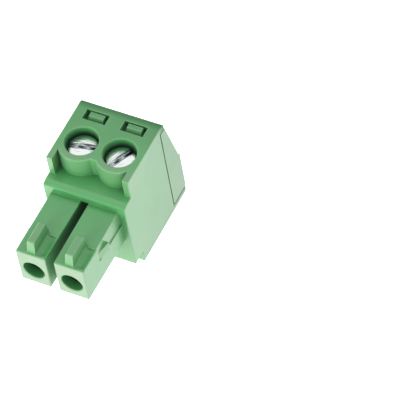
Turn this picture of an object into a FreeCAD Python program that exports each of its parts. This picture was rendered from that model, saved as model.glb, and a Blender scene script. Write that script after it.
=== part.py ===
import FreeCAD, Part

import os

# Pluggable screw terminal plug: a moulded housing whose tongue of hollow fingers slides into a
# pin header, a snap-in rear cover with the wire funnels, and for each pole a slotted screw that
# raises a cage clamp against the current bar of a forked socket contact.
# Millimetres. While it is drawn, X runs across the poles with 0 in the middle, Y = 0 is the front
# edge of the top plate with the wires entering from +Y, and Z = 0 is the underside. At the end all
# pieces move along Y together, so that the middle of the plug's footprint is the origin.

POLES = 2
PITCH = 3.81
CLEARANCE = 0.05

# Outer form of the housing
BODY_HEIGHT = 11.75
CHAMBER_WIDTH = 3.20
SIDE_WALL = 0.60
TOP_PLATE = 0.67
PLATE_OVERHANG = 0.82
LIP_THICKNESS = 0.56
LIP_OVERHANG = 2.41
LEDGE_DROP = 2.16
LEDGE_REACH = 1.33
LEDGE_SLOPE_LENGTH = 0.65
LEDGE_SLOPE_DROP = 0.18
LEDGE_ROUND = 0.15
LIP_ROUND = 0.14
NOTCH_HEIGHT = 1.39
NOTCH_DEPTH = 1.44
REAR_ROUND = 0.40
EDGE_ROUND = 0.08
WELL_FRONT_ROUND = 0.14

# Screw wells at the front of the top plate
WELL_SETBACK = 2.77
WELL_DIAMETER = 3.14
WELL_WALL = 0.69
WELL_DEPTH = 1.95
RECESS_DEPTH = 1.23
SEAT_THICKNESS = 0.62
WELL_BACK_WALL = 0.53

# Latch windows in the top plate and the tabs that snap into them
WINDOW_GAP = 0.74
WINDOW_WIDTH = 2.31
WINDOW_LENGTH = 1.15
WINDOW_MARGIN = 0.90
TAB_WIDTH = 1.45
TAB_FLAT = 0.43
TAB_BELOW_TOP = 0.10
TAB_REAR_GAP = 0.12

# Fingers of the tongue
FINGER_WIDTH = 2.96
FINGER_HEIGHT = 4.11
FINGER_DROP = 0.92
FINGER_DRAFT = 0.06
FINGER_LENGTH = 6.98
FINGER_ROUND = 0.12
CLEFT_DEPTH = 0.85
MOUTH_RISE = 1.78
MOUTH_DIAMETER = 2.12
MOUTH_WALL = 1.03
MOUTH_BEVEL = 0.08
CHANNEL_WIDTH = 2.05
CHANNEL_HEIGHT = 2.65

# Coding rib and scoop on each finger, lock barb and relief on the outer sides
RIB_WIDTH = 0.82
RIB_LENGTH = 2.82
RIB_HEIGHT = 1.28
RIB_SETBACK = 0.23
RIB_END_SLOPE = 0.29
RIB_SIDE_DRAFT = 0.05
RIB_ROUND = 0.14
SCOOP_RADIUS = 1.18
SCOOP_DEPTH = 0.12
SCOOP_SETBACK = 0.31
SCOOP_LENGTH = 2.31
RELIEF_DEPTH = 0.06
RELIEF_SETBACK = 2.72
RELIEF_DROP = 1.85
BARB_SETBACK = 0.10
BARB_HEIGHT = 1.00
BARB_LENGTH = 1.50
BARB_RISE = 0.28
BARB_DROP = 0.85

# Rear cover
WIRE_FACE_REACH = 2.51
WIRE_FACE_HEIGHT = 5.29
SHELF_RISE = 0.12
SHELF_DEPTH = 0.18
SLOPE_TOP_REACH = 0.92
COVER_GROOVE = 0.12
SEAM_GAP = 0.10
FUNNEL_WIDTH = 3.03
FUNNEL_BOTTOM = 1.39
FUNNEL_TOP = 4.85
FUNNEL_DEPTH = 2.41
THROAT_WIDTH = 2.31
COVER_WALL = 0.62
SNOUT_ROOF = 0.98
GATE_MARK_DIAMETER = 0.82
GATE_MARK_DEPTH = 0.04
GATE_MARK_HEIGHT = 6.62

# Clamp cage
CHAMBER_FLOOR = 1.08
CAGE_LIFT = 0.10
CAGE_SIDE_PLAY = 0.11
CAGE_LENGTH = 2.67
CAGE_FLOOR = 0.62
CAGE_WALL = 0.41
CAGE_NUT = 1.54
CAGE_ROUND = 0.25
CAGE_REAR_GAP = 0.30
WIRE_GAP = 2.05

# Clamp screw, metric 2
SCREW_DIAMETER = 2.00
THREAD_PLAY = 0.05
HEAD_DIAMETER = 2.81
HEAD_HEIGHT = 1.13
HEAD_BEVEL = 0.12
TIP_BEVEL = 0.20
DRIVE_SLOT_WIDTH = 0.56
DRIVE_SLOT_DEPTH = 0.55
DRIVE_SLOT_TURNS = (10.0, 61.0)

# Forked socket contact and its current bar
BAR_THICKNESS = 0.72
BAR_SIDE_PLAY = 0.105
BAR_BEARING = 0.41
BAR_END_ROUND = 0.24
STRIP = 0.32
BOX_LENGTH = 2.36
BOX_SETBACK = 0.60
FORK_HEIGHT = 1.44
FORK_GAP = 0.56
FORK_MOUTH = 1.28
FORK_FLARE = 0.90
FORK_END_GAP = 0.30

V = FreeCAD.Vector
SAME = 0.0001

BODY_WIDTH = (POLES - 1) * PITCH + CHAMBER_WIDTH + 2 * SIDE_WALL
HALF_WIDTH = BODY_WIDTH / 2
LEDGE_HEIGHT = BODY_HEIGHT - LEDGE_DROP
WELL_REAR = WELL_SETBACK + WELL_DIAMETER / 2
BODY_DEPTH = WELL_REAR + WINDOW_GAP + WINDOW_LENGTH + WINDOW_MARGIN
SEAM_Y = BODY_DEPTH - PLATE_OVERHANG
PLATE_UNDERSIDE = BODY_HEIGHT - TOP_PLATE
FACE_Y = -LEDGE_REACH
TIP_Y = FACE_Y - FINGER_LENGTH
LIP_REAR = SEAM_Y + LIP_OVERHANG
WIRE_FACE_Y = SEAM_Y + WIRE_FACE_REACH
WELL_FLOOR = BODY_HEIGHT - WELL_DEPTH
SEAT_UNDERSIDE = WELL_FLOOR - SEAT_THICKNESS
CHAMBER_FRONT = WELL_SETBACK - WELL_DIAMETER / 2
WELL_BLOCK_REAR = WELL_REAR + WELL_BACK_WALL
WINDOW_REAR = BODY_DEPTH - WINDOW_MARGIN
FINGER_TOP = LEDGE_HEIGHT - FINGER_DROP
FINGER_BASE = FINGER_TOP - FINGER_HEIGHT
MOUTH_HEIGHT = FINGER_BASE + MOUTH_RISE
CHANNEL_FLOOR = MOUTH_HEIGHT - CHANNEL_HEIGHT / 2
CHANNEL_ROOF = MOUTH_HEIGHT + CHANNEL_HEIGHT / 2

CAGE_WIDTH = CHAMBER_WIDTH - 2 * CAGE_SIDE_PLAY
BAR_WIDTH = CAGE_WIDTH - 2 * CAGE_WALL - 2 * BAR_SIDE_PLAY
CAGE_BOTTOM = CHAMBER_FLOOR + CAGE_LIFT
WIRE_FLOOR = CAGE_BOTTOM + CAGE_FLOOR
BAR_BOTTOM = WIRE_FLOOR + WIRE_GAP + CLEARANCE
BAR_TOP = BAR_BOTTOM + BAR_THICKNESS
NUT_BOTTOM = BAR_TOP + 2 * CLEARANCE
NUT_TOP = NUT_BOTTOM + CAGE_NUT
CAGE_FRONT = WELL_SETBACK - CAGE_LENGTH / 2
CAGE_REAR = WELL_SETBACK + CAGE_LENGTH / 2
SNOUT_FRONT = CAGE_REAR + CAGE_REAR_GAP
BAR_REAR = SNOUT_FRONT + BAR_BEARING
THROAT_BOTTOM = WIRE_FLOOR - CLEARANCE
THROAT_TOP = BAR_BOTTOM - CLEARANCE
SNOUT_TOP = BAR_TOP + SNOUT_ROOF

REACH = 2 * BODY_DEPTH
CENTRE_Y = (TIP_Y + max(WIRE_FACE_Y, LIP_REAR)) / 2


def pole_centres():
    """X of every pole, from left to right as seen from the front."""
    first = -(POLES - 1) * PITCH / 2
    return [first + index * PITCH for index in range(POLES)]


def block(x0, x1, y0, y1, z0, z1):
    """Box between two corners."""
    return Part.makeBox(x1 - x0, y1 - y0, z1 - z0, V(x0, y0, z0))


def centred_block(x, width, y0, y1, z0, z1):
    """Box of a given width about one pole."""
    return block(x - width / 2, x + width / 2, y0, y1, z0, z1)


def prism_across(side_view, x0, x1):
    """Prism along X from the (y, z) corners of its side view."""
    corners = [V(x0, y, z) for y, z in side_view]
    return Part.Face(Part.makePolygon(corners + corners[:1])).extrude(V(x1 - x0, 0, 0))


def rectangle(x, width, y0, y1, z):
    """Closed wire of a horizontal rectangle about one pole."""
    left = x - width / 2
    right = x + width / 2
    corners = [V(left, y0, z), V(right, y0, z), V(right, y1, z), V(left, y1, z)]
    return Part.makePolygon(corners + corners[:1])


def upright(x, y, z0, z1, radius):
    """Vertical cylinder."""
    return Part.makeCylinder(radius, z1 - z0, V(x, y, z0))


def fused(first, others):
    """One clean solid from pieces that touch."""
    return first.multiFuse(others).removeSplitter()


def rounded(shape, radius, wanted):
    """Fillet of every edge whose bounding box passes a test."""
    return shape.makeFillet(radius, [edge for edge in shape.Edges if wanted(edge.BoundBox)])


def near(value, target):
    """Whether two coordinates are the same, apart from rounding."""
    return abs(value - target) < SAME


def lies_at_height(z):
    """Test for an edge in one level plane."""
    return lambda box: near(box.ZMin, z) and near(box.ZMax, z)


def runs_across_at(y, z):
    """Test for the edge along X at one place of the side view."""
    return lambda box: near(box.YMin, y) and near(box.YMax, y) and near(box.ZMin, z) and near(box.ZMax, z)


def lies_on_side(box):
    """Test for an edge in one of the two outer side faces."""
    return near(box.XMin, box.XMax) and near(abs(box.XMin), HALF_WIDTH)


def lower_block():
    """Body below the screw wells: front face, ledge, notch under the face and rear lip."""
    bottom_front = FACE_Y + NOTCH_DEPTH
    face_top = LEDGE_HEIGHT - LEDGE_SLOPE_DROP
    side_view = [
        (bottom_front, 0),
        (LIP_REAR, 0),
        (LIP_REAR, LIP_THICKNESS),
        (SEAM_Y, LIP_THICKNESS),
        (SEAM_Y, LEDGE_HEIGHT),
        (FACE_Y + LEDGE_SLOPE_LENGTH, LEDGE_HEIGHT),
        (FACE_Y, face_top),
        (FACE_Y, NOTCH_HEIGHT),
        (bottom_front, NOTCH_HEIGHT),
    ]
    body = prism_across(side_view, -HALF_WIDTH, HALF_WIDTH)
    body = rounded(body, LEDGE_ROUND, runs_across_at(FACE_Y, face_top))
    return rounded(body, LIP_ROUND, runs_across_at(LIP_REAR, 0))


def upper_block():
    """Body above the ledge: two cheeks, half-round well fronts and the overhanging top plate."""
    body = block(-HALF_WIDTH, HALF_WIDTH, 0, BODY_DEPTH, LEDGE_HEIGHT, BODY_HEIGHT)
    body = body.cut(block(-HALF_WIDTH, HALF_WIDTH, SEAM_Y, REACH, LEDGE_HEIGHT, PLATE_UNDERSIDE))
    between_cheeks = HALF_WIDTH - SIDE_WALL
    body = body.cut(block(-between_cheeks, between_cheeks, -REACH, RECESS_DEPTH, 0, REACH))
    radius = WELL_DIAMETER / 2 + WELL_WALL
    fronts = [upright(x, WELL_SETBACK, LEDGE_HEIGHT, BODY_HEIGHT, radius) for x in pole_centres()]
    fronts = [rounded(front, WELL_FRONT_ROUND, lies_at_height(BODY_HEIGHT)) for front in fronts]
    slab = block(-between_cheeks, between_cheeks, -REACH, WELL_SETBACK, LEDGE_HEIGHT, BODY_HEIGHT)
    fronts = [front.common(slab) for front in fronts]
    body = fused(body, fronts)
    return rounded(body, REAR_ROUND, runs_across_at(BODY_DEPTH, BODY_HEIGHT))


def finger(x):
    """One hollow finger with its coding rib, before the channel is cut."""
    root = FACE_Y + LEDGE_REACH / 2
    root_width = FINGER_WIDTH + 2 * FINGER_DRAFT
    plan = [
        V(x - FINGER_WIDTH / 2, TIP_Y, FINGER_BASE),
        V(x + FINGER_WIDTH / 2, TIP_Y, FINGER_BASE),
        V(x + root_width / 2, root, FINGER_BASE),
        V(x - root_width / 2, root, FINGER_BASE),
    ]
    stick = Part.Face(Part.makePolygon(plan + plan[:1])).extrude(V(0, 0, FINGER_HEIGHT))
    stick = rounded(stick, FINGER_ROUND, lambda box: box.YMin < root - CLEARANCE)
    rib_front = TIP_Y + RIB_SETBACK
    rib_rear = rib_front + RIB_LENGTH
    foot = rectangle(x, RIB_WIDTH, rib_front, rib_rear, FINGER_TOP - FINGER_ROUND)
    crown_width = RIB_WIDTH - 2 * RIB_SIDE_DRAFT
    crown_front = rib_front + RIB_END_SLOPE
    crown = rectangle(x, crown_width, crown_front, rib_rear - RIB_END_SLOPE, FINGER_TOP + RIB_HEIGHT)
    rib = Part.makeLoft([foot, crown], True, True)
    rib = rounded(rib, RIB_ROUND, lies_at_height(FINGER_TOP + RIB_HEIGHT))
    scoop_x = x + (RIB_WIDTH + FINGER_WIDTH) / 4
    scoop_front = V(scoop_x, TIP_Y + SCOOP_SETBACK, FINGER_TOP + SCOOP_RADIUS - SCOOP_DEPTH)
    scoop = Part.makeCylinder(SCOOP_RADIUS, SCOOP_LENGTH, scoop_front, V(0, 1, 0))
    return fused(stick.cut(scoop), [rib])


def side_relief(side):
    """Shallow step in the outer side of the last finger, and the barb that locks in the header."""
    flank = side * ((POLES - 1) * PITCH / 2 + FINGER_WIDTH / 2)
    floor = flank - side * RELIEF_DEPTH
    front = TIP_Y + RELIEF_SETBACK
    low = FINGER_TOP - RELIEF_DROP
    step = block(min(floor, floor + side), max(floor, floor + side), front, FACE_Y, low, REACH)
    barb_front = front + BARB_SETBACK
    barb_rear = barb_front + BARB_LENGTH
    barb_top = FINGER_TOP - BARB_DROP
    root = floor - side * RELIEF_DEPTH
    plan = [
        V(root, barb_front, barb_top),
        V(floor, barb_front, barb_top),
        V(flank + side * BARB_RISE, barb_rear, barb_top),
        V(root, barb_rear, barb_top),
    ]
    barb = Part.Face(Part.makePolygon(plan + plan[:1])).extrude(V(0, 0, -BARB_HEIGHT))
    return step, barb


def clefts():
    """Narrow pockets that carry the gap between two fingers on into the front face."""
    width = PITCH - FINGER_WIDTH - 2 * FINGER_DRAFT
    rear = FACE_Y + CLEFT_DEPTH
    centres = pole_centres()
    middles = [(left + right) / 2 for left, right in zip(centres, centres[1:])]
    return [centred_block(x, width, FACE_Y, rear, FINGER_BASE, FINGER_TOP) for x in middles]


def pole_hollows(x):
    """Everything that is cut out of the housing for one pole."""
    well_radius = WELL_DIAMETER / 2
    guide_radius = SCREW_DIAMETER / 2 + CLEARANCE
    mouth_radius = MOUTH_DIAMETER / 2
    mouth_centre = V(x, TIP_Y, MOUTH_HEIGHT)
    mouth = Part.makeCylinder(mouth_radius, MOUTH_WALL, mouth_centre, V(0, 1, 0))
    bevel = Part.makeCone(mouth_radius + MOUTH_BEVEL, mouth_radius, MOUTH_BEVEL, mouth_centre, V(0, 1, 0))
    channel_front = TIP_Y + MOUTH_WALL
    channel_rear = CHAMBER_FRONT + CLEARANCE
    riser_front = CHAMBER_FRONT - STRIP - 2 * CLEARANCE
    riser_bottom = min(BAR_BOTTOM, CHANNEL_FLOOR) - CLEARANCE
    riser_top = max(BAR_TOP + CLEARANCE, CHANNEL_ROOF)
    window_front = WINDOW_REAR - WINDOW_LENGTH
    rim_centre = V(x, WELL_SETBACK, BODY_HEIGHT - EDGE_ROUND)
    return [
        Part.makeCone(well_radius, well_radius + EDGE_ROUND, EDGE_ROUND, rim_centre, V(0, 0, 1)),
        upright(x, WELL_SETBACK, WELL_FLOOR, REACH, well_radius),
        upright(x, WELL_SETBACK, SEAT_UNDERSIDE - CLEARANCE, REACH, guide_radius),
        centred_block(x, CHAMBER_WIDTH, CHAMBER_FRONT, REACH, CHAMBER_FLOOR, SEAT_UNDERSIDE),
        centred_block(x, CHAMBER_WIDTH, WELL_BLOCK_REAR, REACH, CHAMBER_FLOOR, PLATE_UNDERSIDE),
        centred_block(x, CHANNEL_WIDTH, channel_front, channel_rear, CHANNEL_FLOOR, CHANNEL_ROOF),
        centred_block(x, CHANNEL_WIDTH, riser_front, channel_rear, riser_bottom, riser_top),
        centred_block(x, WINDOW_WIDTH, window_front, WINDOW_REAR, PLATE_UNDERSIDE - CLEARANCE, REACH),
        mouth,
        bevel,
    ]


def housing():
    """Moulded body with its tongue."""
    body = fused(lower_block(), [upper_block()])
    body = rounded(body, EDGE_ROUND, lies_on_side)
    body = fused(body, [finger(x) for x in pole_centres()])
    for side in (-1, 1):
        step, barb = side_relief(side)
        body = body.cut(step).fuse(barb)
    body = body.removeSplitter()
    for cleft in clefts():
        body = body.cut(cleft)
    for x in pole_centres():
        for hollow in pole_hollows(x):
            body = body.cut(hollow)
    return body


def funnel(x):
    """Tapered wire entry and the straight throat behind it, for one pole."""
    outer = [
        V(x - FUNNEL_WIDTH / 2, WIRE_FACE_Y, FUNNEL_BOTTOM),
        V(x + FUNNEL_WIDTH / 2, WIRE_FACE_Y, FUNNEL_BOTTOM),
        V(x + FUNNEL_WIDTH / 2, WIRE_FACE_Y, FUNNEL_TOP),
        V(x - FUNNEL_WIDTH / 2, WIRE_FACE_Y, FUNNEL_TOP),
    ]
    throat_y = WIRE_FACE_Y - FUNNEL_DEPTH
    inner = [
        V(x - THROAT_WIDTH / 2, throat_y, THROAT_BOTTOM),
        V(x + THROAT_WIDTH / 2, throat_y, THROAT_BOTTOM),
        V(x + THROAT_WIDTH / 2, throat_y, THROAT_TOP),
        V(x - THROAT_WIDTH / 2, throat_y, THROAT_TOP),
    ]
    wires = [Part.makePolygon(ring + ring[:1]) for ring in (outer, inner)]
    taper = Part.makeLoft(wires, True, True)
    throat = centred_block(x, THROAT_WIDTH, SNOUT_FRONT - CLEARANCE, throat_y, THROAT_BOTTOM, THROAT_TOP)
    return taper.fuse(throat)


def snout(x):
    """Plug of the cover that closes one chamber from behind, with its latch tab."""
    width = CHAMBER_WIDTH - 2 * CLEARANCE
    bottom = CHAMBER_FLOOR + CLEARANCE
    top = PLATE_UNDERSIDE - COVER_GROOVE
    upper_front = WELL_BLOCK_REAR + CLEARANCE
    side_view = [
        (SNOUT_FRONT, bottom),
        (SEAM_Y + COVER_WALL, bottom),
        (SEAM_Y + COVER_WALL, top),
        (upper_front, top),
        (upper_front, SNOUT_TOP),
        (SNOUT_FRONT, SNOUT_TOP),
    ]
    plug = prism_across(side_view, x - width / 2, x + width / 2)
    tab_top = BODY_HEIGHT - TAB_BELOW_TOP
    tab_rear = WINDOW_REAR - TAB_REAR_GAP
    tab_front = WINDOW_REAR - WINDOW_LENGTH + CLEARANCE
    tab_view = [
        (tab_rear, top - COVER_WALL),
        (tab_rear, tab_top),
        (tab_rear - TAB_FLAT, tab_top),
        (tab_front, PLATE_UNDERSIDE),
        (tab_front, top - COVER_WALL),
    ]
    tab = prism_across(tab_view, x - TAB_WIDTH / 2, x + TAB_WIDTH / 2)
    return plug.fuse(tab)


def wire_entry_cover():
    """Snap-in rear cover: sloped panel, wire face with a funnel for each pole, plugs and tabs."""
    front = SEAM_Y + SEAM_GAP
    bottom = LIP_THICKNESS + COVER_GROOVE
    top = PLATE_UNDERSIDE - COVER_GROOVE
    slope_top = SEAM_Y + SLOPE_TOP_REACH
    shelf_y = WIRE_FACE_Y - SHELF_DEPTH
    side_view = [
        (front, bottom),
        (WIRE_FACE_Y, bottom),
        (WIRE_FACE_Y, WIRE_FACE_HEIGHT),
        (shelf_y, WIRE_FACE_HEIGHT + SHELF_RISE),
        (slope_top, top),
        (front, top),
    ]
    cover = prism_across(side_view, -HALF_WIDTH, HALF_WIDTH)
    cover = rounded(cover, EDGE_ROUND, lambda box: box.YMax > front + CLEARANCE)
    cover = fused(cover, [snout(x) for x in pole_centres()])
    core_width = CHAMBER_WIDTH - 2 * COVER_WALL
    core_front = WELL_BLOCK_REAR
    core_rear = SEAM_Y + SLOPE_TOP_REACH - COVER_WALL
    core_top = PLATE_UNDERSIDE - COVER_GROOVE - COVER_WALL
    for x in pole_centres():
        cover = cover.cut(funnel(x))
        bearing_top = BAR_TOP + CLEARANCE
        bearing_rear = BAR_REAR + CLEARANCE
        bearing = centred_block(x, BAR_WIDTH + 2 * CLEARANCE, 0, bearing_rear, THROAT_TOP, bearing_top)
        cover = cover.cut(bearing)
        cover = cover.cut(centred_block(x, core_width, core_front, core_rear, SNOUT_TOP, core_top))
    mark_y = SEAM_Y + SEAM_GAP + GATE_MARK_DIAMETER / 2
    mark_centre = V(-HALF_WIDTH - GATE_MARK_DEPTH, mark_y, GATE_MARK_HEIGHT)
    mark = Part.makeCylinder(GATE_MARK_DIAMETER / 2, 2 * GATE_MARK_DEPTH, mark_centre, V(1, 0, 0))
    return cover.cut(mark).removeSplitter()


def clamp_screw(x, slot_turn):
    """Slotted captive screw: bevelled cheese head, plain shank at the thread's outer size."""
    head_bottom = WELL_FLOOR + CLEARANCE
    head_top = head_bottom + HEAD_HEIGHT
    tip = BAR_TOP + CLEARANCE
    head_radius = HEAD_DIAMETER / 2
    shank_radius = SCREW_DIAMETER / 2
    half_section = [
        V(0, 0, tip),
        V(shank_radius - TIP_BEVEL, 0, tip),
        V(shank_radius, 0, tip + TIP_BEVEL),
        V(shank_radius, 0, head_bottom),
        V(head_radius, 0, head_bottom),
        V(head_radius, 0, head_top - HEAD_BEVEL),
        V(head_radius - HEAD_BEVEL, 0, head_top),
        V(0, 0, head_top),
    ]
    face = Part.Face(Part.makePolygon(half_section + half_section[:1]))
    screw = face.revolve(V(0, 0, 0), V(0, 0, 1), 360)
    slot_floor = head_top - DRIVE_SLOT_DEPTH
    slot_half = DRIVE_SLOT_WIDTH / 2
    slot = block(-HEAD_DIAMETER, HEAD_DIAMETER, -slot_half, slot_half, slot_floor, REACH)
    slot.rotate(V(0, 0, 0), V(0, 0, 1), slot_turn)
    screw = screw.cut(slot)
    screw.translate(V(x, WELL_SETBACK, 0))
    return screw


def clamp_cage(x):
    """Rising cage: a rectangular sleeve open along Y, with a thick threaded roof."""
    cage = centred_block(x, CAGE_WIDTH, CAGE_FRONT, CAGE_REAR, CAGE_BOTTOM, NUT_TOP)
    cage = rounded(cage, CAGE_ROUND, lambda box: box.YLength > CAGE_LENGTH / 2)
    passage_width = CAGE_WIDTH - 2 * CAGE_WALL
    cage = cage.cut(centred_block(x, passage_width, -REACH, REACH, WIRE_FLOOR, NUT_BOTTOM))
    thread_radius = SCREW_DIAMETER / 2 + THREAD_PLAY
    return cage.cut(upright(x, WELL_SETBACK, NUT_BOTTOM - CLEARANCE, NUT_TOP + CLEARANCE, thread_radius))


def fork_leaf(x, side, box_front, mouth_front):
    """One spring leaf of the fork, from the box to the flared mouth."""
    outer_wall = CHANNEL_WIDTH / 2 - CLEARANCE
    pinch_y = mouth_front + FORK_FLARE
    inner = [
        (outer_wall - STRIP, box_front),
        (FORK_GAP / 2, pinch_y),
        (FORK_MOUTH / 2 - STRIP / 2, mouth_front),
    ]
    outer = [(offset + STRIP, y) for offset, y in reversed(inner)]
    low = MOUTH_HEIGHT - FORK_HEIGHT / 2
    corners = [V(x + side * offset, y, low) for offset, y in inner + outer]
    return Part.Face(Part.makePolygon(corners + corners[:1])).extrude(V(0, 0, FORK_HEIGHT))


def contact(x):
    """Stamped contact: current bar, riser, folded box and the two leaves of the fork."""
    outer_wall = CHANNEL_WIDTH / 2 - CLEARANCE
    floor = CHANNEL_FLOOR + CLEARANCE
    riser_front = CHAMBER_FRONT - STRIP - CLEARANCE
    riser_rear = riser_front + STRIP
    box_rear = FACE_Y - BOX_SETBACK
    box_front = box_rear - BOX_LENGTH
    mouth_front = TIP_Y + MOUTH_WALL + FORK_END_GAP
    strip_width = 2 * outer_wall
    bar_front = CHAMBER_FRONT + CLEARANCE
    bar = centred_block(x, BAR_WIDTH, bar_front, BAR_REAR, BAR_BOTTOM, BAR_TOP)
    riser_bottom = min(BAR_BOTTOM, floor)
    riser_top = max(BAR_TOP, floor + STRIP)
    neck = centred_block(x, strip_width, riser_front, bar_front, BAR_BOTTOM, BAR_TOP)
    riser = centred_block(x, strip_width, riser_front, riser_rear, riser_bottom, riser_top)
    strip = centred_block(x, strip_width, box_front, riser_rear, floor, floor + STRIP)
    for z in (BAR_BOTTOM, BAR_TOP):
        bar = rounded(bar, BAR_END_ROUND, runs_across_at(BAR_REAR, z))
    pieces = [neck, riser, strip]
    for side in (-1, 1):
        wall = sorted((x + side * outer_wall, x + side * (outer_wall - STRIP)))
        wall_top = MOUTH_HEIGHT + FORK_HEIGHT / 2
        pieces.append(block(wall[0], wall[1], box_front, box_rear, floor, wall_top))
        pieces.append(fork_leaf(x, side, box_front, mouth_front))
    return fused(bar, pieces)


def build():
    """All pieces by name, in the plug's own frame."""
    pieces = {"housing": housing(), "wire_entry_cover": wire_entry_cover()}
    for index, x in enumerate(pole_centres()):
        slot_turn = DRIVE_SLOT_TURNS[index % len(DRIVE_SLOT_TURNS)]
        pieces[f"clamp_screw_{index + 1}"] = clamp_screw(x, slot_turn)
        pieces[f"clamp_cage_{index + 1}"] = clamp_cage(x)
        pieces[f"socket_contact_{index + 1}"] = contact(x)
    for shape in pieces.values():
        shape.translate(V(0, -CENTRE_Y, 0))
    return pieces


os.makedirs("parts", exist_ok=True)
for name, shape in build().items():
    shape.exportStep(f"parts/{name}.step")
    print(name, shape.isValid(), len(shape.Solids), shape.BoundBox)
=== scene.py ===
"""Looks of a two-pole pluggable screw terminal plug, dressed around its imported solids.

The housing and its rear cover keep their solids and get a moulded polyamide. The rising cages and the
socket contacts keep theirs and get plated metal, with pressed teeth added to the cage floors. The
clamp screws are made anew, with a crowned, slotted head and a cut thread. Lengths in this file are
millimetres unless a name says otherwise, and become metres where a mesh, a lamp or the camera is placed.
"""

import logging
import math
from dataclasses import dataclass
from enum import Enum

import bmesh
import bpy
from mathutils import Matrix, Vector, noise


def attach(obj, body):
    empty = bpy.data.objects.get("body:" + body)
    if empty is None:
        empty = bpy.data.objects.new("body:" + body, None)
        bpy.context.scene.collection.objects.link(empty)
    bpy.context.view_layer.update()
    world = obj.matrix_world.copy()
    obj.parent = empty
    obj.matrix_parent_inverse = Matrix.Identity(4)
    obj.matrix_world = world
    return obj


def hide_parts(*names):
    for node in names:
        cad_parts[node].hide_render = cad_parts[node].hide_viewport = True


log = logging.getLogger("terminal_plug")
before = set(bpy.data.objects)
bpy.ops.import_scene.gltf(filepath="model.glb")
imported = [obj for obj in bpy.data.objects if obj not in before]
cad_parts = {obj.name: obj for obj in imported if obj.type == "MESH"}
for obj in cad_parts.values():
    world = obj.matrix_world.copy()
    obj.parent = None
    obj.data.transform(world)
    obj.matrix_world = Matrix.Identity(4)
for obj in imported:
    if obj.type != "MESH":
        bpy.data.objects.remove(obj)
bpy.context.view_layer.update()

MM = 0.001
PITCH = 3.81
POLE_X = {1: -PITCH / 2, 2: PITCH / 2}
CLAMP_Y = 2.515
SLOT_TURNS = {1: 10.0, 2: 61.0}
FINGER_TOP = 8.67

# A wave texture of scale 1 repeats after this length.
WAVE_REPEAT = math.pi / 10


class Slot(Enum):
    """Material slots of the record for the screws and the cages, which nothing in this script reads."""

    SCREW = "screw_steel"
    CAGE = "cage_steel"


class Measure(Enum):
    """What a fade of the polyamide runs along, and the size of one unit of it in the node tree."""

    SIDE = ("distance from the plug's middle plane", MM)
    ALONG = ("Y, which grows towards the wire entries", MM)
    UP = ("height over the underside", MM)
    FROM_SCREW = ("distance from the nearer screw's axis", MM)
    SKY = ("share of the sky that a point sees", 1.0)
    BEND = ("cosine between a face and the rounded edge there", 1.0)

    @property
    def unit(self) -> float:
        """Return the size of one unit in the node tree."""
        return self.value[1]


@dataclass(frozen=True)
class Fade:
    """Stretch of one measure, over which a zone comes up from nothing at start to full at stop."""

    measure: Measure
    start: float
    stop: float
    smooth: bool = False


@dataclass(frozen=True)
class Zone:
    """Part of the plug that lies past all of its fades, and how much of a tint it takes there."""

    strength: float
    fades: tuple[Fade, ...]


def linear_colour(code: str) -> tuple[float, float, float, float]:
    """Turn an sRGB hex value into a linear colour.

    Args:
        code: Six hex digits, such as "6baa74".

    Returns:
        Red, green, blue and an alpha of 1.
    """
    channels = []
    for start in (0, 2, 4):
        value = int(code[start:start + 2], 16) / 255
        channels.append(value / 12.92 if value <= 0.04045 else ((value + 0.055) / 1.055) ** 2.4)
    return (channels[0], channels[1], channels[2], 1.0)


def add_node(tree: bpy.types.NodeTree, kind: str, settings: dict | None = None,
             inputs: dict | None = None) -> bpy.types.Node:
    """Add a node with its settings, values and links.

    Args:
        tree: Node tree of a material, a world or a modifier.
        kind: Full type name of the node.
        settings: Attributes of the node.
        inputs: Socket name or index to a value, or to the output socket that feeds it.

    Returns:
        The new node.
    """
    node = tree.nodes.new(kind)
    for key, value in (settings or {}).items():
        setattr(node, key, value)
    for key, value in (inputs or {}).items():
        if isinstance(value, bpy.types.NodeSocket):
            tree.links.new(value, node.inputs[key])
        else:
            node.inputs[key].default_value = value
    return node


def combined(tree: bpy.types.NodeTree, operation: str,
             levels: list[bpy.types.NodeSocket]) -> bpy.types.NodeSocket:
    """Join several levels into one by the same operation, from the first to the last.

    Args:
        tree: Node tree that holds the levels.
        operation: Operation that joins two levels.
        levels: Output sockets to join.

    Returns:
        Output socket of the joined level.
    """
    result = levels[0]
    for level in levels[1:]:
        result = add_node(tree, "ShaderNodeMath", {"operation": operation}, {0: result, 1: level}).outputs[0]
    return result


def seen_directly(tree: bpy.types.NodeTree) -> bpy.types.NodeSocket:
    """Tell what the camera sees, also in a mirror or through glass, from what only lights the plug.

    Args:
        tree: Node tree of a material or a world.

    Returns:
        Output socket of a level that is 1 for what is seen, and 0 for what only lights.
    """
    paths = add_node(tree, "ShaderNodeLightPath")
    kinds = ("Is Camera Ray", "Is Glossy Ray", "Is Transmission Ray")
    return combined(tree, "MAXIMUM", [paths.outputs[kind] for kind in kinds])


class Sheet:
    """A material's node tree."""

    def __init__(self, name: str) -> None:
        """Start an empty node material.

        Args:
            name: Name of the material.
        """
        self.material = bpy.data.materials.new(name)
        self.material.use_nodes = True
        self.tree = self.material.node_tree
        self.tree.nodes.clear()

    def add(self, kind: str, settings: dict | None = None, inputs: dict | None = None) -> bpy.types.Node:
        """Add a shader node, named without its prefix."""
        return add_node(self.tree, "ShaderNode" + kind, settings, inputs)

    def finish(self, surface: bpy.types.Node) -> bpy.types.Material:
        """Join the surface to the output and return the material."""
        self.add("OutputMaterial", inputs={"Surface": surface.outputs[0]})
        return self.material


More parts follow.
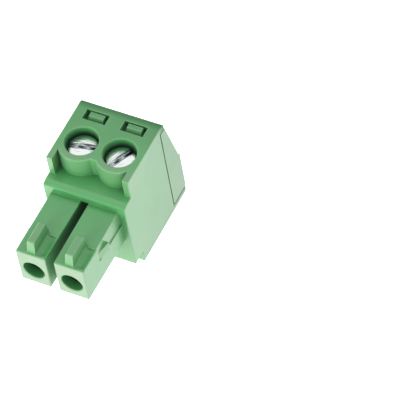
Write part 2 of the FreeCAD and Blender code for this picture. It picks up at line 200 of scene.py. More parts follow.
class PlugSheet(Sheet):
    """Node tree that measures where on the plug a point lies, how open it is and how it bends."""

    def __init__(self, name: str, edge_round_mm: float, reach_mm: float) -> None:
        """Start an empty node material with its measures.

        Args:
            name: Name of the material.
            edge_round_mm: Radius that edges are drawn with.
            reach_mm: Distance over which walls shut off the sky.
        """
        super().__init__(name)
        self.place = self.add("TexCoord").outputs["Object"]
        self.rounded = self.add("Bevel", {"samples": 6}, {"Radius": edge_round_mm * MM}).outputs["Normal"]
        axes = self.add("SeparateXYZ", inputs={0: self.place})
        side = self.add("Math", {"operation": "ABSOLUTE"}, {0: axes.outputs["X"]})
        plan = self.add("CombineXYZ", inputs={0: side.outputs[0], 1: axes.outputs["Y"]})
        from_screw = self.add("VectorMath", {"operation": "DISTANCE"}, {
            0: plan.outputs[0], 1: (POLE_X[2] * MM, CLAMP_Y * MM, 0.0)})
        sky = self.add("AmbientOcclusion", {"samples": 8, "only_local": True}, {"Distance": reach_mm * MM})
        flat = self.add("NewGeometry").outputs["Normal"]
        bend = self.add("VectorMath", {"operation": "DOT_PRODUCT"}, {0: self.rounded, 1: flat})
        self.measures = {
            Measure.SIDE: side.outputs[0],
            Measure.ALONG: axes.outputs["Y"],
            Measure.UP: axes.outputs["Z"],
            Measure.FROM_SCREW: from_screw.outputs["Value"],
            Measure.SKY: sky.outputs["AO"],
            Measure.BEND: bend.outputs["Value"],
        }

    def within(self, zone: Zone) -> bpy.types.NodeSocket:
        """Build a zone's level.

        Args:
            zone: Fades that a point has to be past, and the strength there.

        Returns:
            Output socket of the level, from 0 to the zone's strength.
        """
        levels = []
        for fade in zone.fades:
            curve = "SMOOTHSTEP" if fade.smooth else "LINEAR"
            unit = fade.measure.unit
            level = self.add("MapRange", {"interpolation_type": curve}, {
                "Value": self.measures[fade.measure], "From Min": fade.start * unit,
                "From Max": fade.stop * unit, "To Max": zone.strength})
            levels.append(level.outputs["Result"])
        return combined(self.tree, "MINIMUM", levels)

    def outside(self, zone: Zone) -> bpy.types.NodeSocket:
        """Return a factor of 1 outside a zone, lower by the zone's strength inside it."""
        return self.add("Math", {"operation": "SUBTRACT"}, {0: 1.0, 1: self.within(zone)}).outputs[0]


@dataclass(frozen=True)
class MouldedPolyamide:
    """Polyamide 66, injection moulded in a finely spark-eroded steel mould, dyed green.

    The eye sees a milky green with a broad, soft gloss, and a pale bloom at a flat angle of view.
    Its colour carries painted shade at the rear, on the rear rim of the top and in recesses, painted
    highlights on thin rounded edges, and a paler tint, partly painted light, on finger tips, rib tops, well
    fronts and low faces.
    """

    name: str = "green_polyamide_66_moulded"
    # Painted shade: the rear of the part is a darker green than the front.
    rear_shade_green: str = "3a8f49"
    body: str = "53aa60"
    # A paler tint: partly painted light and a painted pale reflection, partly paler finger tips and rib
    # tops.
    pale_tint_and_painted_light: str = "86ab82"
    # Painted highlight on thin rounded edges.
    edge: str = "a8d8a6"
    # Painted shade on the rear rim of the top.
    rim: str = "1c6630"
    # Painted shade in recesses, and painted near black in the deepest ones.
    deep: str = "1a6430"
    painted_near_black: str = "1b211d"
    bloom: str = "9adea4"
    half_length: float = 8.6
    rear_shade_ends: tuple[float, float] = (-0.25, 0.75)
    cloud_share: float = 0.5
    body_from: float = 0.38
    flow_mm: float = 4.0
    sink_mm: float = 1.6
    sink_height_mm: float = 0.012
    grain_mm: float = 0.10
    grain_height_mm: float = 0.004
    edge_round_mm: float = 0.14
    reach_mm: float = 3.0
    roughness: float = 0.36
    grain_smoother: float = 0.06
    grain_rougher: float = 0.08
    dull_rougher: float = 0.5
    coat: float = 0.95
    # Where the paler tint lies: finger tips, rib tops, the fronts of the screw wells, and low on the part.
    finger_tips: Zone = Zone(1.0, (Fade(Measure.ALONG, -8.40, -8.54),))
    ribs: Zone = Zone(0.35, (
        Fade(Measure.ALONG, -4.0, -4.6), Fade(Measure.UP, FINGER_TOP + 0.2, FINGER_TOP + 0.6)))
    well_fronts: Zone = Zone(0.45, (Fade(Measure.ALONG, 1.6, 0.5), Fade(Measure.UP, 9.6, 10.4)))
    foot: Zone = Zone(0.4, (Fade(Measure.UP, 5.5, 1.0),))
    painted_edge_highlights: Zone = Zone(0.85, (Fade(Measure.BEND, 0.998, 0.86),))
    rear_rim: Zone = Zone(0.8, (Fade(Measure.ALONG, 5.9, 6.75), Fade(Measure.UP, 11.1, 11.5)))
    # Where painted shade lies, and where it is left off.
    closed: Zone = Zone(0.8, (Fade(Measure.SKY, 0.80, 0.22, smooth=True),))
    core_ends: Zone = Zone(0.85, (Fade(Measure.SKY, 0.30, 0.08, smooth=True),))
    barb_sides: Zone = Zone(0.85, (Fade(Measure.SIDE, 3.15, 3.30), Fade(Measure.ALONG, -1.9, -2.6)))
    gap_front: Zone = Zone(0.8, (Fade(Measure.SIDE, 0.62, 0.50), Fade(Measure.ALONG, -5.0, -8.0)))
    finger_roots: Zone = Zone(0.5, (
        Fade(Measure.UP, 8.3, 8.6), Fade(Measure.UP, 9.25, 8.75), Fade(Measure.SIDE, 3.30, 3.15),
        Fade(Measure.ALONG, -1.9, -1.6), Fade(Measure.ALONG, -1.50, -1.51)))
    wells: Zone = Zone(0.9, (Fade(Measure.FROM_SCREW, 1.66, 1.60), Fade(Measure.UP, 9.70, 9.71)))
    well_walls: Zone = Zone(0.9, (*wells.fades, Fade(Measure.UP, 11.6, 10.9)))
    well_bottoms: Zone = Zone(0.85, (*wells.fades, Fade(Measure.UP, 11.50, 10.65, smooth=True)))

    def clouds(self, sheet: PlugSheet) -> bpy.types.NodeSocket:
        """Build the dye's colour, with painted shade towards the rear, before the other tints.

        Args:
            sheet: Node tree of the material.

        Returns:
            Output socket of the colour.
        """
        # Faint clouds a few millimetres across, and painted shade that darkens towards the wire entries.
        drift = sheet.add("TexNoise", inputs={
            "Vector": sheet.place, "Scale": 1 / (self.flow_mm * MM), "Detail": 2.0})
        rear_shade_slope = sheet.add("MapRange", inputs={
            "Value": sheet.measures[Measure.ALONG], "From Min": self.half_length * MM,
            "From Max": -self.half_length * MM, "To Min": self.rear_shade_ends[0], "To Max": self.rear_shade_ends[1]})
        reached = sheet.add("Math", {"operation": "MULTIPLY_ADD"}, {
            0: drift.outputs["Fac"], 1: self.cloud_share, 2: rear_shade_slope.outputs["Result"]})
        ramp = sheet.add("ValToRGB", inputs={"Fac": reached.outputs[0]})
        stops = ((0.0, self.rear_shade_green), (self.body_from, self.body))
        for element, (position, code) in zip(ramp.color_ramp.elements, stops):
            element.position = position
            element.color = linear_colour(code)
        return ramp.outputs["Color"]

    def tinted(self, sheet: PlugSheet, closed: bpy.types.NodeSocket,
               rim: bpy.types.NodeSocket) -> bpy.types.NodeSocket:
        """Lay a paler tint, painted edge highlights and painted shade over the dye's colour.

        Args:
            sheet: Node tree of the material.
            closed: How far walls shut a point off from the sky.
            rim: How far a point belongs to the rear rim of the top, which gets painted shade.

        Returns:
            Output socket of the colour.
        """
        # A paler tint: painted light that pales the part towards its underside, a painted pale reflection on
        # the fronts of the screw wells, and paler finger tips and rib tops.
        paled_and_painted_light = [sheet.within(zone) for zone in (self.finger_tips, self.ribs, self.well_fronts, self.foot)]
        # Painted shade: the colour goes deep green in wells, holes and inner corners, where walls shut off
        # the sky, down the walls of the screw wells and at the finger roots under the ledge. The step beside
        # each lock barb gets none of it, and the gap between the fingers less towards its front end. The
        # ends of deep cores, except at the gap's front end, and the bottoms of the wells are painted near
        # black.
        past_gap = sheet.outside(self.gap_front)
        recess_shade = combined(sheet.tree, "MULTIPLY", [closed, sheet.outside(self.barb_sides), past_gap])
        shaded = [recess_shade, sheet.within(self.well_walls), sheet.within(self.finger_roots)]
        unlit = combined(sheet.tree, "MULTIPLY", [sheet.within(self.core_ends), past_gap])
        painted_dark = [unlit, sheet.within(self.well_bottoms)]
        layers = (
            (combined(sheet.tree, "MAXIMUM", paled_and_painted_light), self.pale_tint_and_painted_light),
            # Painted highlight on thin rounded edges.
            (sheet.within(self.painted_edge_highlights), self.edge),
            # Painted shade on the rear rim of the top.
            (rim, self.rim),
            (combined(sheet.tree, "MAXIMUM", shaded), self.deep),
            (combined(sheet.tree, "MAXIMUM", painted_dark), self.painted_near_black),
        )
        colour = self.clouds(sheet)
        for level, code in layers:
            colour = sheet.add("Mix", {"data_type": "RGBA"}, {
                0: level, 6: colour, 7: linear_colour(code)}).outputs[2]
        return colour

    def relief(self, sheet: PlugSheet, grain: bpy.types.NodeSocket) -> bpy.types.NodeSocket:
        """Build the moulded skin's relief, over edges that are rounded.

        Args:
            sheet: Node tree of the material.
            grain: Height of the fine grain.

        Returns:
            Output socket of the normal.
        """
        # Cooling leaves shallow sinks, and spark erosion of the mould a fine grain on them.
        sinks = sheet.add("TexNoise", inputs={
            "Vector": sheet.place, "Scale": 1 / (self.sink_mm * MM), "Detail": 1.0})
        waved = sheet.add("Bump", inputs={
            "Height": sinks.outputs["Fac"], "Strength": 1.0, "Distance": self.sink_height_mm * MM,
            "Normal": sheet.rounded})
        return sheet.add("Bump", inputs={
            "Height": grain, "Strength": 0.8, "Distance": self.grain_height_mm * MM,
            "Normal": waved.outputs["Normal"]}).outputs["Normal"]

    def material(self) -> bpy.types.Material:
        """Build the node material.

        Returns:
            The material.
        """
        # The real edges are rounded by less than a tenth of a millimetre, and the real grain is finer.
        # Both are drawn as coarse as they need to show.
        sheet = PlugSheet(self.name, self.edge_round_mm, self.reach_mm)
        grain = sheet.add("TexNoise", inputs={
            "Vector": sheet.place, "Scale": 1 / (self.grain_mm * MM), "Detail": 3.0}).outputs["Fac"]
        closed = sheet.within(self.closed)
        rim = sheet.within(self.rear_rim)
        # Narrow cores, the screw wells and the rear rim are duller than the outer faces.
        dull = combined(sheet.tree, "MAXIMUM", [closed, sheet.within(self.wells), rim])
        satin = sheet.add("MapRange", inputs={
            "Value": grain, "To Min": self.roughness - self.grain_smoother,
            "To Max": self.roughness + self.grain_rougher})
        gloss = sheet.add("Math", {"operation": "MULTIPLY_ADD"}, {
            0: dull, 1: self.dull_rougher, 2: satin.outputs["Result"]})
        skin = sheet.add("MapRange", inputs={"Value": dull, "To Min": self.coat, "To Max": 0.0})
        # The coat gives the soft gloss, the sheen the pale green bloom at a flat angle of view, and the
        # light that scatters under the skin the milky look.
        return sheet.finish(sheet.add("BsdfPrincipled", inputs={
            "Base Color": self.tinted(sheet, closed, rim),
            "Roughness": gloss.outputs[0],
            "Normal": self.relief(sheet, grain),
            "IOR": 1.53,
            "Coat Weight": skin.outputs["Result"],
            "Coat Roughness": 0.30,
            "Coat IOR": 1.6,
            "Sheen Weight": 0.5,
            "Sheen Tint": linear_colour(self.bloom),
            "Sheen Roughness": 0.4,
            "Subsurface Weight": 0.10,
            "Subsurface Radius": (0.35, 1.0, 0.45),
            "Subsurface Scale": 0.25 * MM,
        }))


@dataclass(frozen=True)
class TurnedZincPlate:
    """Steel screw, turned and slotted by a saw, then bright zinc plated.

    The eye sees a near mirror in which turning rings and saw lines stretch each reflection. Both are
    drawn as coarse as they need to show.
    """

    name: str
    centre: tuple[float, float]
    slot_turn: float
    tint: str = "f2f6f6"
    # Painted dark reflections in the saw lines.
    painted_dark: str = "3d4d52"
    roughest: float = 0.26
    smoothest: float = 0.12
    ring_mm: float = 0.11
    ring_height_mm: float = 0.003
    saw_mm: float = 0.11
    saw_height_mm: float = 0.012
    saw_stretch: float = 0.06
    slot_half: float = 0.29
    flats_from: float = 0.42
    dark_in_slot: float = 0.51
    dark_on_flats: float = 0.35
    streak_blend: tuple[float, float] = (-0.05, 0.04)

    def material(self) -> bpy.types.Material:
        """Build the node material, with its rings around the screw's own axis.

        Returns:
            The material.
        """
        sheet = Sheet(self.name)
        place = sheet.add("TexCoord").outputs["Object"]
        # The pattern's origin is the screw's axis, and its X axis is the slot.
        turn = -math.radians(self.slot_turn)
        shift = -(Matrix.Rotation(turn, 3, "Z") @ Vector((*self.centre, 0.0))) * MM
        own = sheet.add("Mapping", inputs={"Vector": place, "Location": shift, "Rotation": (0, 0, turn)})
        rings = sheet.add("TexWave", {"wave_type": "RINGS", "rings_direction": "Z"}, {
            "Vector": own.outputs["Vector"], "Scale": WAVE_REPEAT / (self.ring_mm * MM), "Distortion": 1.5})
        lines = sheet.add("Mapping", inputs={
            "Vector": own.outputs["Vector"], "Scale": (self.saw_stretch, 1.0, self.saw_stretch)})
        saw = sheet.add("TexNoise", inputs={
            "Vector": lines.outputs["Vector"], "Scale": 1 / (self.saw_mm * MM), "Detail": 3.0})
        cut = sheet.add("Bump", inputs={
            "Height": saw.outputs["Fac"], "Strength": 1.0, "Distance": self.saw_height_mm * MM})
        turned = sheet.add("Bump", inputs={
            "Height": rings.outputs["Fac"], "Strength": 0.5, "Distance": self.ring_height_mm * MM,
            "Normal": cut.outputs["Normal"]})
        gloss = sheet.add("MapRange", inputs={
            "Value": saw.outputs["Fac"], "To Min": self.smoothest, "To Max": self.roughest})
        # Painted dark reflections streak the saw lines of the slot, and hardly the flats beside it.
        across = sheet.add("SeparateXYZ", inputs={0: own.outputs["Vector"]})
        beside = sheet.add("Math", {"operation": "ABSOLUTE"}, {0: across.outputs["Y"]})
        depth = sheet.add("MapRange", inputs={
            "Value": beside.outputs[0], "From Min": self.slot_half * MM, "From Max": self.flats_from * MM,
            "To Min": self.dark_in_slot, "To Max": self.dark_on_flats})
        over = sheet.add("Math", {"operation": "SUBTRACT"}, {
            0: saw.outputs["Fac"], 1: depth.outputs["Result"]})
        unstreaked = sheet.add("MapRange", inputs={
            "Value": over.outputs[0], "From Min": self.streak_blend[0], "From Max": self.streak_blend[1]})
        painted_dark_reflections = sheet.add("Mix", {"data_type": "RGBA"}, {
            0: unstreaked.outputs["Result"], 6: linear_colour(self.painted_dark), 7: linear_colour(self.tint)})
        return sheet.finish(sheet.add("BsdfPrincipled", inputs={
            "Base Color": painted_dark_reflections.outputs[2],
            "Metallic": 1.0,
            "Roughness": gloss.outputs["Result"],
            "Normal": turned.outputs["Normal"],
        }))


@dataclass(frozen=True)
class StampedPlate:
    """Sheet or block metal, pressed to shape and plated.

    The eye sees a soft neutral mirror, broken up by the draw lines of the press tool. They are drawn as
    coarse as they need to show.
    """

    name: str
    tint: str
    roughness: float
    line_mm: float
    lines_along: tuple[float, float, float]
    line_height_mm: float = 0.01
    smoothest_share: float = 0.7
    roughest_share: float = 1.4

    def material(self) -> bpy.types.Material:
        """Build the node material.

        Returns:
            The material.
        """
        sheet = Sheet(self.name)
        place = sheet.add("TexCoord").outputs["Object"]
        drawn = sheet.add("Mapping", inputs={"Vector": place, "Scale": self.lines_along})
        marks = sheet.add("TexNoise", inputs={
            "Vector": drawn.outputs["Vector"], "Scale": 1 / (self.line_mm * MM), "Detail": 4.0})
        bump = sheet.add("Bump", inputs={
            "Height": marks.outputs["Fac"], "Strength": 0.6, "Distance": self.line_height_mm * MM})
        gloss = sheet.add("MapRange", inputs={
            "Value": marks.outputs["Fac"], "To Min": self.roughness * self.smoothest_share,
            "To Max": self.roughness * self.roughest_share})
        return sheet.finish(sheet.add("BsdfPrincipled", inputs={
            "Base Color": linear_colour(self.tint),
            "Metallic": 1.0,
            "Roughness": gloss.outputs["Result"],
            "Normal": bump.outputs["Normal"],
        }))


def dress_node(node: str, material: bpy.types.Material) -> None:
    """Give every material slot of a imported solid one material.

    Args:
        node: Name of the solid's node.
        material: Finish of the solid.
    """
    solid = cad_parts[node]
    if not solid.data.materials:
        solid.data.materials.append(material)
    for slot in solid.material_slots:
        slot.material = material
    log.info("dressed %s with %s", node, material.name)


def lathe(section: list[tuple[float, float]], steps: int) -> bmesh.types.BMesh:
    """Turn an open section, which starts and ends on the axis, into a closed solid.

    Args:
        section: Radius and height of each point, from the lowest to the highest.
        steps: Faces around the axis.

    Returns:
        The solid around the Z axis, with its faces outward.
    """
    solid = bmesh.new()
    turns = [math.tau * step / steps for step in range(steps)]
    rings = []
    for radius, height in section:
        points = [(radius * math.cos(turn), radius * math.sin(turn), height) for turn in turns]
        if radius == 0:
            points = [(0, 0, height)]
        rings.append([solid.verts.new(point) for point in points])
    for low, high in zip(rings, rings[1:]):
        for step in range(steps):
            after = (step + 1) % steps
            corners = [low[step % len(low)], low[after % len(low)]]
            corners += [high[after % len(high)], high[step % len(high)]]
            solid.faces.new(dict.fromkeys(corners))
    bmesh.ops.recalc_face_normals(solid, faces=solid.faces)
    return solid


def as_object(name: str, solid: bmesh.types.BMesh) -> bpy.types.Object:
    """Put a solid into the scene as an object of its own, at the size it was drawn.

    Args:
        name: Name of the object and its mesh.
        solid: The solid, which is freed.

    Returns:
        The new object.
    """
    mesh = bpy.data.meshes.new(name)
    solid.to_mesh(mesh)
    solid.free()
    piece = bpy.data.objects.new(name, mesh)
    bpy.context.scene.collection.objects.link(piece)
    return piece


def baked(piece: bpy.types.Object) -> bpy.types.Mesh:
    """Turn what an object's modifiers make into a plain mesh, and leave the object without them.

    Args:
        piece: Object with modifiers.

    Returns:
        The plain mesh.
    """
    evaluated = piece.evaluated_get(bpy.context.evaluated_depsgraph_get())
    mesh = bpy.data.meshes.new_from_object(evaluated)
    piece.modifiers.clear()
    return mesh


class RepeatTree:
    """A Geometry Nodes tree with named sizes, which ends in realized faces of one material."""

    def __init__(self, name: str, **kinds: str) -> None:
        """Start a tree.

        Args:
            name: Name of the tree.
            kinds: Each named input, with its socket type without the prefix.
        """
        self.tree = bpy.data.node_groups.new(name, "GeometryNodeTree")
        self.tree.interface.new_socket("Geometry", in_out="OUTPUT", socket_type="NodeSocketGeometry")
        self.sockets: dict[str, bpy.types.NodeTreeInterfaceSocket] = {}
        for key, kind in kinds.items():
            self.sockets[key] = self.tree.interface.new_socket(
                key, in_out="INPUT", socket_type="NodeSocket" + kind)
        self.entry = self.tree.nodes.new("NodeGroupInput")

    def add(self, kind: str, settings: dict | None = None, inputs: dict | None = None) -> bpy.types.Node:
        """Add a node by its full type name."""
        return add_node(self.tree, kind, settings, inputs)

    def size(self, name: str) -> bpy.types.NodeSocket:
        """Return the output socket of a named input."""
        return self.entry.outputs[name]

    def end(self, geometry: bpy.types.NodeSocket) -> None:
        """Realize the geometry, give it its material and join it to the output.

        Args:
            geometry: Output socket of the geometry.
        """
        real = self.add("GeometryNodeRealizeInstances", inputs={"Geometry": geometry})
        dressed = self.add("GeometryNodeSetMaterial", inputs={
            "Geometry": real.outputs["Geometry"], "Material": self.size("Finish")})
        self.add("NodeGroupOutput", inputs={"Geometry": dressed.outputs["Geometry"]})

    def mesh(self, name: str, **values: float | int | bpy.types.Material) -> bpy.types.Mesh:
        """Run the tree once with the given sizes.

        Args:
            name: Name of the mesh.
            values: Value of each named input.

        Returns:
            The plain mesh that the tree makes.
        """
        carrier = as_object(name, bmesh.new())
        modifier = carrier.modifiers.new(name, "NODES")
        modifier.node_group = self.tree
        for key, value in values.items():
            modifier[self.sockets[key].identifier] = value
        mesh = baked(carrier)
        bpy.data.objects.remove(carrier)
        return mesh


def thread_tree() -> RepeatTree:
    """Build the tree of a screw thread: one ridge that winds up a helix.

    Returns:
        The tree.
    """
    thread = RepeatTree("screw_thread", Turns="Float", Pitch="Float", Radius="Float", Ridge="Float",
                        Finish="Material")
    rise = thread.add("ShaderNodeMath", {"operation": "MULTIPLY"}, {
        0: thread.size("Turns"), 1: thread.size("Pitch")})
    helix = thread.add("GeometryNodeCurveSpiral", inputs={
        "Resolution": 40, "Rotations": thread.size("Turns"), "Start Radius": thread.size("Radius"),
        "End Radius": thread.size("Radius"), "Height": rise.outputs[0]})
    level = thread.add("GeometryNodeSetCurveNormal", {"mode": "Z_UP"}, {"Curve": helix.outputs["Curve"]})
    ridge = thread.add("GeometryNodeCurvePrimitiveCircle", inputs={
        "Resolution": 3, "Radius": thread.size("Ridge")})
    swept = thread.add("GeometryNodeCurveToMesh", inputs={
        "Curve": level.outputs["Curve"], "Profile Curve": ridge.outputs["Curve"], "Fill Caps": True})
    thread.end(swept.outputs["Mesh"])
    return thread


def teeth_tree() -> RepeatTree:
    """Build the tree of a row of pressed teeth: one ridge, repeated along Y.

    Returns:
        The tree.
    """
    teeth = RepeatTree("pressed_teeth", Count="Int", Pitch="Float", Length="Float", Ridge="Float",
                       Finish="Material")
    ends = []
    for share in (-0.5, 0.5):
        reach = teeth.add("ShaderNodeMath", {"operation": "MULTIPLY"}, {0: teeth.size("Length"), 1: share})
        ends.append(teeth.add("ShaderNodeCombineXYZ", inputs={0: reach.outputs[0]}).outputs[0])
    line = teeth.add("GeometryNodeCurvePrimitiveLine", inputs={0: ends[0], 1: ends[1]})
    ridge = teeth.add("GeometryNodeCurvePrimitiveCircle", inputs={
        "Resolution": 6, "Radius": teeth.size("Ridge")})
    bar = teeth.add("GeometryNodeCurveToMesh", inputs={
        "Curve": line.outputs["Curve"], "Profile Curve": ridge.outputs["Curve"], "Fill Caps": True})
    step = teeth.add("ShaderNodeCombineXYZ", inputs={1: teeth.size("Pitch")})
    row = teeth.add("GeometryNodeMeshLine", inputs={
        "Count": teeth.size("Count"), "Offset": step.outputs[0]})
    copies = teeth.add("GeometryNodeInstanceOnPoints", inputs={
        "Points": row.outputs["Mesh"], "Instance": bar.outputs["Mesh"]})
    teeth.end(copies.outputs["Instances"])
    return teeth


@dataclass
class PlugBody:
    """Moulded housing and its snap-in rear cover, both from one batch of polyamide."""

    finish: MouldedPolyamide = MouldedPolyamide()

    def build(self) -> None:
        """Dress both solids."""
        material = self.finish.material()
        dress_node("housing", material)
        dress_node("wire_entry_cover", material)


@dataclass
class ClampScrew:
    """Slotted captive screw, metric 2, with a crowned head, rolled slot edges and a cut thread."""

    pole: int
    slot_turn: float
    head_diameter: float = 2.81
    head_bottom: float = 9.85
    head_top: float = 10.98
    head_under_bevel: float = 0.04
    crown: float = 0.12
    crown_steps: int = 12
    edge_round: float = 0.10
    edge_steps: int = 4
    slot_width: float = 0.56
    slot_depth: float = 0.55
    slot_chamfer: float = 0.035
    saw_over: float = 1.0
    burr: float = 0.016
    burr_from_slot: float = 0.05
    burr_half_width: float = 0.045
    burr_cuts: tuple[float, ...] = (-0.03, 0.0, 0.03, 0.07, 0.16)
    cut_tolerance: float = 1e-5
    burr_least: float = 0.6
    burr_wobble: float = 0.8
    wobbles_per_mm: float = 1.7
    wobble_row: float = 3.0
    shank_diameter: float = 2.0
    core_diameter: float = 1.57
    tip: float = 4.67
    tip_chamfer: float = 0.15
    pitch: float = 0.4
    plain_shank: float = 0.6
    thread_start: float = 0.25
    ridge_share: float = 0.72
    smooth_below: float = 28.0
    steps: int = 112

    def head_section(self) -> list[tuple[float, float]]:
        """Draw the section of the core and the head.

        Returns:
            Radius and height of each point, from the tip to the crown.
        """
        core = self.core_diameter / 2
        rim = self.head_diameter / 2
        rim_top = self.head_top - self.crown
        section = [(0, self.tip), (core - self.tip_chamfer, self.tip), (core, self.tip + self.tip_chamfer)]
        section += [(core, self.head_bottom), (rim - self.head_under_bevel, self.head_bottom)]
        section.append((rim, self.head_bottom + self.head_under_bevel))
        for part in range(self.edge_steps + 1):
            angle = math.radians(90 * part / self.edge_steps)
            inset = self.edge_round * (1 - math.cos(angle))
            section.append((rim - inset, rim_top - self.edge_round * (1 - math.sin(angle))))
        inner = rim - self.edge_round
        for part in range(1, self.crown_steps + 1):
            share = 1 - part / self.crown_steps
            section.append((inner * share, self.head_top - self.crown * share ** 2))
        return section

    def slot_cutter(self) -> bmesh.types.BMesh:
        """Draw the saw's path through the head, wider at the top by the slot's chamfers.

        Returns:
            The solid that the saw takes away.
        """
        half = self.slot_width / 2
        reach = self.head_diameter
        floor = self.head_top - self.slot_depth
        wide = half + self.slot_chamfer
        brow = self.head_top - self.slot_chamfer
        over = self.head_top + self.saw_over
        outline = [(-half, floor), (half, floor), (half, brow), (wide, self.head_top)]
        outline += [(wide, over), (-wide, over), (-wide, self.head_top), (-half, brow)]
        cutter = bmesh.new()
        ends = [[cutter.verts.new((x, y, z)) for y, z in outline] for x in (-reach, reach)]
        cutter.faces.new(ends[0])
        cutter.faces.new(reversed(ends[1]))
        for index in range(len(outline)):
            after = (index + 1) % len(outline)
            cutter.faces.new((ends[0][index], ends[1][index], ends[1][after], ends[0][after]))
        bmesh.ops.recalc_face_normals(cutter, faces=cutter.faces)
        return cutter

    def roll_edges(self, head: bmesh.types.BMesh) -> None:
        """Raise an uneven lip beside the slot, as the saw and the driver leave it.

        Args:
            head: The slotted head, which gets finer faces along the lip.
        """
        lip = self.slot_width / 2 + self.slot_chamfer + self.burr_from_slot
        for side in (-1, 1):
            for offset in self.burr_cuts:
                everything = head.verts[:] + head.edges[:] + head.faces[:]
                bmesh.ops.bisect_plane(head, geom=everything, plane_co=(0, side * (lip + offset), 0),
                                       plane_no=(0, 1, 0), dist=self.cut_tolerance)
        skin = self.head_top - self.crown - self.edge_round / 2
        for vert in head.verts:
            if vert.co.z < skin or abs(vert.co.y) < self.slot_width / 2 + self.slot_chamfer / 2:
                continue
            away = (abs(vert.co.y) - lip) / self.burr_half_width
            row = math.copysign(self.wobble_row, vert.co.y)
            wave = noise.noise(Vector((vert.co.x * self.wobbles_per_mm, row, self.pole)))
            height = self.burr * (self.burr_least + self.burr_wobble * wave)
            vert.co.z += height * math.exp(-away * away)

    def turned(self) -> bpy.types.Mesh:
        """Build the core and the slotted head at the pole's place, without the thread.

        Returns:
            The mesh, in metres.
        """
        blank = as_object("screw_blank", lathe(self.head_section(), self.steps))
        saw = as_object("screw_saw", self.slot_cutter())
        cut = blank.modifiers.new("slot", "BOOLEAN")
        cut.operation = "DIFFERENCE"
        cut.solver = "EXACT"
        cut.object = saw
        head = bmesh.new()
        head.from_mesh(baked(blank))
        bpy.data.objects.remove(blank)
        bpy.data.objects.remove(saw)
        self.roll_edges(head)
        seat = Matrix.Translation((POLE_X[self.pole], CLAMP_Y, 0))
        turn = Matrix.Rotation(math.radians(self.slot_turn), 4, "Z")
        bmesh.ops.transform(head, matrix=Matrix.Scale(MM, 4) @ seat @ turn, verts=head.verts)
        mesh = bpy.data.meshes.new("turned")
        head.to_mesh(mesh)
        head.free()
        return mesh

    def ridge(self, thread: RepeatTree, finish: bpy.types.Material) -> bpy.types.Mesh:
        """Wind the thread's ridge around the core at the pole's place.

        Args:
            thread: Tree that winds the ridge.
            finish: Plating of the screw.

        Returns:
            The mesh, in metres.
        """
        depth = (self.shank_diameter - self.core_diameter) / 2
        turns = math.floor((self.head_bottom - self.tip - self.plain_shank) / self.pitch)
        middle = self.core_diameter / 2 + depth * (1 - self.ridge_share)
        mesh = thread.mesh("screw_thread", Turns=float(turns), Pitch=self.pitch * MM, Radius=middle * MM,
                           Ridge=depth * self.ridge_share * MM, Finish=finish)
        low_end = Vector((POLE_X[self.pole], CLAMP_Y, self.tip + self.thread_start))
        mesh.transform(Matrix.Translation(low_end * MM))
        return mesh

    def build(self, thread: RepeatTree) -> None:
        """Join the turned blank and its thread into one piece that replaces the plain solid.

        Args:
            thread: Tree that winds the thread's ridge.
        """
        finish = TurnedZincPlate(f"bright_zinc_plated_steel_turned_{self.pole}",
                                 (POLE_X[self.pole], CLAMP_Y), self.slot_turn).material()
        screw = bmesh.new()
        screw.from_mesh(self.turned())
        screw.from_mesh(self.ridge(thread, finish))
        bmesh.ops.recalc_face_normals(screw, faces=screw.faces)
        for face in screw.faces:
            face.material_index = 0
        piece = as_object(f"clamp_screw_{self.pole}_turned", screw)
        piece.data.materials.append(finish)
        piece.data.shade_smooth()
        piece.data.set_sharp_from_angle(angle=math.radians(self.smooth_below))
        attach(piece, f"clamp_screw_{self.pole}")
        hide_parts(f"clamp_screw_{self.pole}")
        log.info("built %s with %d faces", piece.name, len(piece.data.polygons))


@dataclass
class RisingCage:
    """Rising cage clamp: its solid, plus the pressed teeth that grip the wire."""

    pole: int
    floor: float = 1.80
    teeth: int = 8
    teeth_pitch: float = 0.30
    teeth_length: float = 2.10
    tooth: float = 0.07

    def build(self, row: RepeatTree, finish: bpy.types.Material) -> None:
        """Dress the cage and add its teeth.

        Args:
            row: Tree that repeats the teeth.
            finish: Plating of the cage.
        """
        dress_node(f"clamp_cage_{self.pole}", finish)
        mesh = row.mesh("pressed_teeth", Count=self.teeth, Pitch=self.teeth_pitch * MM,
                        Length=self.teeth_length * MM, Ridge=self.tooth * MM, Finish=finish)
        first = CLAMP_Y - self.teeth_pitch * (self.teeth - 1) / 2
        mesh.transform(Matrix.Translation(Vector((POLE_X[self.pole], first, self.floor)) * MM))
        piece = bpy.data.objects.new(f"clamp_cage_{self.pole}_teeth", mesh)
        bpy.context.scene.collection.objects.link(piece)
        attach(piece, f"clamp_cage_{self.pole}")
        log.info("built %s with %d faces", piece.name, len(mesh.polygons))


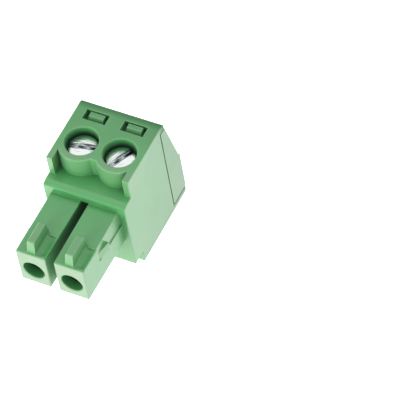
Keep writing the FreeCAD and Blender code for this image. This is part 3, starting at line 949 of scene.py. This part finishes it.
@dataclass
class Camera:
    """The photograph's viewpoint, as one long lens fitted to the plug's corners."""

    aim: tuple[float, float, float] = (6.444, 6.905, 1.487)
    azimuth: float = 34.29
    elevation: float = 52.34
    roll: float = 10.7
    distance: float = 312.0
    focal_in_widths: float = 8.5685
    sensor: float = 36.0
    clip: tuple[float, float] = (10.0, 10000.0)

    def place(self) -> None:
        """Create the camera and make it the scene's own."""
        turn = math.radians(self.azimuth)
        lift = math.radians(self.elevation)
        tilt = math.radians(self.roll)
        ahead = Vector((-math.sin(turn), math.cos(turn), 0.0))
        forward = ahead * math.cos(lift) - Vector((0.0, 0.0, math.sin(lift)))
        level = Vector((math.cos(turn), math.sin(turn), 0.0))
        upright = level.cross(forward)
        right = level * math.cos(tilt) - upright * math.sin(tilt)
        up = right.cross(forward)
        data = bpy.data.cameras.new("photo_camera")
        data.sensor_width = self.sensor
        data.lens = self.sensor * self.focal_in_widths
        data.clip_start = self.clip[0] * MM
        data.clip_end = self.clip[1] * MM
        camera = bpy.data.objects.new("photo_camera", data)
        bpy.context.scene.collection.objects.link(camera)
        eye = (Vector(self.aim) - forward * self.distance) * MM
        turned = Matrix((right, up, -forward)).transposed().to_4x4()
        camera.matrix_world = Matrix.Translation(eye) @ turned
        bpy.context.scene.camera = camera


@dataclass(frozen=True)
class SoftBox:
    """One square lamp that faces the plug and isn't seen itself."""

    name: str
    centre: tuple[float, float, float]
    side: float
    watts: float
    aim: tuple[float, float, float] = (0.0, 0.0, 5.0)

    def hang(self) -> None:
        """Create the lamp at its place."""
        data = bpy.data.lights.new(self.name, "AREA")
        data.shape = "SQUARE"
        data.size = self.side * MM
        data.energy = self.watts
        lamp = bpy.data.objects.new(self.name, data)
        bpy.context.scene.collection.objects.link(lamp)
        lamp.location = Vector(self.centre) * MM
        lamp.rotation_euler = (Vector(self.aim) - Vector(self.centre)).to_track_quat("-Z", "Y").to_euler()
        lamp.visible_camera = False
        lamp.visible_glossy = False


@dataclass
class Studio:
    """White bench, soft lamps and a pale room whose far side is dim."""

    bench_half_width: float = 600.0
    bench_colour: str = "f2f2f2"
    bright_side: tuple[float, float, float] = (0.0, -0.93, 0.37)
    bright_level: float = 0.66
    bright_from: float = -0.2
    dim_level: float = 0.30
    dim_until: float = -1.0
    lamps: tuple[SoftBox, ...] = (
        SoftBox("front_low_box", (-60, -260, 60), 140, 0.49),
        SoftBox("right_box", (260, -60, 70), 140, 0.07))

    def bench(self) -> None:
        """Build the white bench that the plug stands on."""
        half = self.bench_half_width * MM
        mesh = bpy.data.meshes.new("bench")
        corners = [(-half, -half, 0.0), (half, -half, 0.0), (half, half, 0.0), (-half, half, 0.0)]
        mesh.from_pydata(corners, [], [(0, 1, 2, 3)])
        bench = bpy.data.objects.new("bench", mesh)
        bpy.context.scene.collection.objects.link(bench)
        # Plain matt white that keeps the plug's shadow, and clips to white where it is seen.
        sheet = Sheet("matt_white_bench")
        lit = sheet.add("BsdfDiffuse", inputs={"Color": linear_colour(self.bench_colour)})
        glow = sheet.add("Emission", inputs={"Color": (1, 1, 1, 1), "Strength": seen_directly(sheet.tree)})
        mesh.materials.append(sheet.finish(sheet.add("AddShader", inputs={
            0: lit.outputs[0], 1: glow.outputs[0]})))

    def room(self) -> None:
        """Light the scene from a pale room, white where it is seen."""
        world = bpy.data.worlds.new("white_room")
        world.use_nodes = True
        tree = world.node_tree
        back = tree.nodes["Background"]
        place = add_node(tree, "ShaderNodeTexCoord")
        toward = add_node(tree, "ShaderNodeVectorMath", {"operation": "DOT_PRODUCT"}, {
            0: place.outputs["Generated"], 1: self.bright_side})
        level = add_node(tree, "ShaderNodeMapRange", {"interpolation_type": "SMOOTHSTEP"}, {
            "Value": toward.outputs["Value"], "From Min": self.dim_until, "From Max": self.bright_from,
            "To Min": self.dim_level, "To Max": self.bright_level})
        strength = combined(tree, "MAXIMUM", [level.outputs["Result"], seen_directly(tree)])
        tree.links.new(strength, back.inputs["Strength"])
        back.inputs["Color"].default_value = (1, 1, 1, 1)
        bpy.context.scene.world = world

    def light(self) -> None:
        """Build the whole studio."""
        self.bench()
        for lamp in self.lamps:
            lamp.hang()
        self.room()
        bpy.context.scene.view_settings.view_transform = "Standard"


def main() -> None:
    """Dress the plug, build its metal parts, then place the studio and the camera."""
    logging.basicConfig(level=logging.INFO, format="%(name)s: %(message)s")
    PlugBody().build()
    thread = thread_tree()
    teeth = teeth_tree()
    zinc = StampedPlate("zinc_plated_steel_pressed", tint="c9cac9", roughness=0.30, line_mm=0.12,
                        lines_along=(1.0, 0.15, 1.0)).material()
    tin = StampedPlate("tin_plated_bronze_stamped", tint="cfcdc8", roughness=0.32, line_mm=0.10,
                       lines_along=(1.0, 0.12, 1.0)).material()
    for pole, slot_turn in SLOT_TURNS.items():
        ClampScrew(pole, slot_turn).build(thread)
        RisingCage(pole).build(teeth, zinc)
        dress_node(f"socket_contact_{pole}", tin)
    Studio().light()
    Camera().place()


if __name__ == "__main__":
    main()
